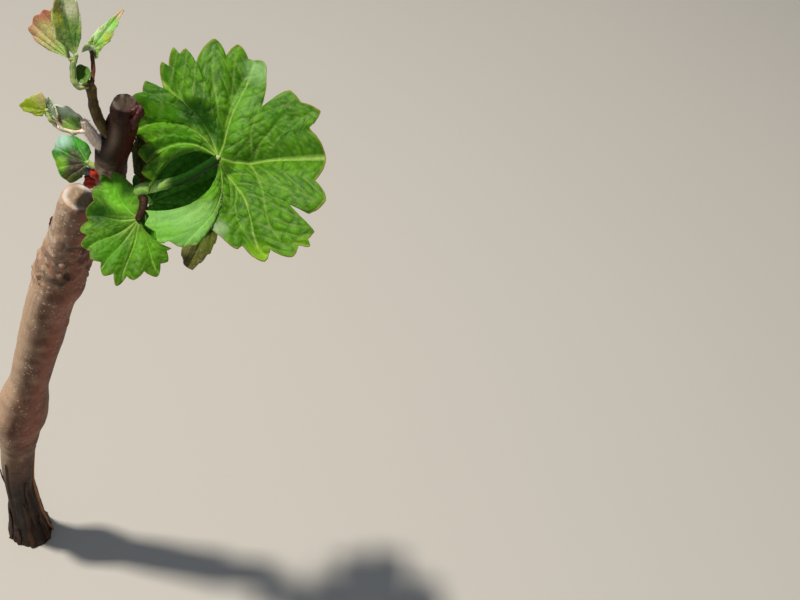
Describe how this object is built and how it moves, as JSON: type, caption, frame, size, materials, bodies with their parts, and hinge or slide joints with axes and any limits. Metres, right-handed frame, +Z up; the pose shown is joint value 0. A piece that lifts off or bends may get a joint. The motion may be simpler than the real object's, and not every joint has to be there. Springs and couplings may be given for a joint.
{
  "type": "young grapevine",
  "caption": "Young grafted grapevine: a leaning woody trunk with a graft callus, a cut spur, green shoots, small unfolding leaves and one large toothed leaf.",
  "frame": {"origin": "middle of the flat cut under the trunk, at ground level", "axes": "+Z up, +X towards the side where the large leaf stands, +Y away from the viewer of the picture"},
  "size_m": [0.0978, 0.0395, 0.2238],
  "materials": {
    "trunk_bark": "thin pinkish-brown cane bark with pale specks",
    "spur_bark": "dark dried bark with remains of red wax",
    "shoot_skin": "smooth brown-green young shoot",
    "downy_stem": "pale stem with white down",
    "grown_leaf": "bright green blistered leaf",
    "shaded_leaf": "darker leaf or leaf underside",
    "young_leaf": "unfolding leaf with down and a bronze margin"
  },
  "bodies": {
    "root": {"trunk": "trunk_bark", "spur": "spur_bark", "shoot_top": "shoot_skin", "shoot_side": "downy_stem", "shoot_low": "downy_stem", "shoot_tip": "shoot_skin", "leaf_big": "grown_leaf", "leaf_low": "grown_leaf", "leaf_under": "shaded_leaf", "leaf_behind": "shaded_leaf", "leaf_inner": "shaded_leaf", "leaf_cup": "grown_leaf", "leaf_side_upper": "young_leaf", "leaf_side_fold": "young_leaf", "leaf_side_tip": "young_leaf", "leaf_top_left": "young_leaf", "leaf_top_centre": "young_leaf", "leaf_top_right": "young_leaf", "leaf_top_bract": "shaded_leaf"}
  },
  "joints": []
}
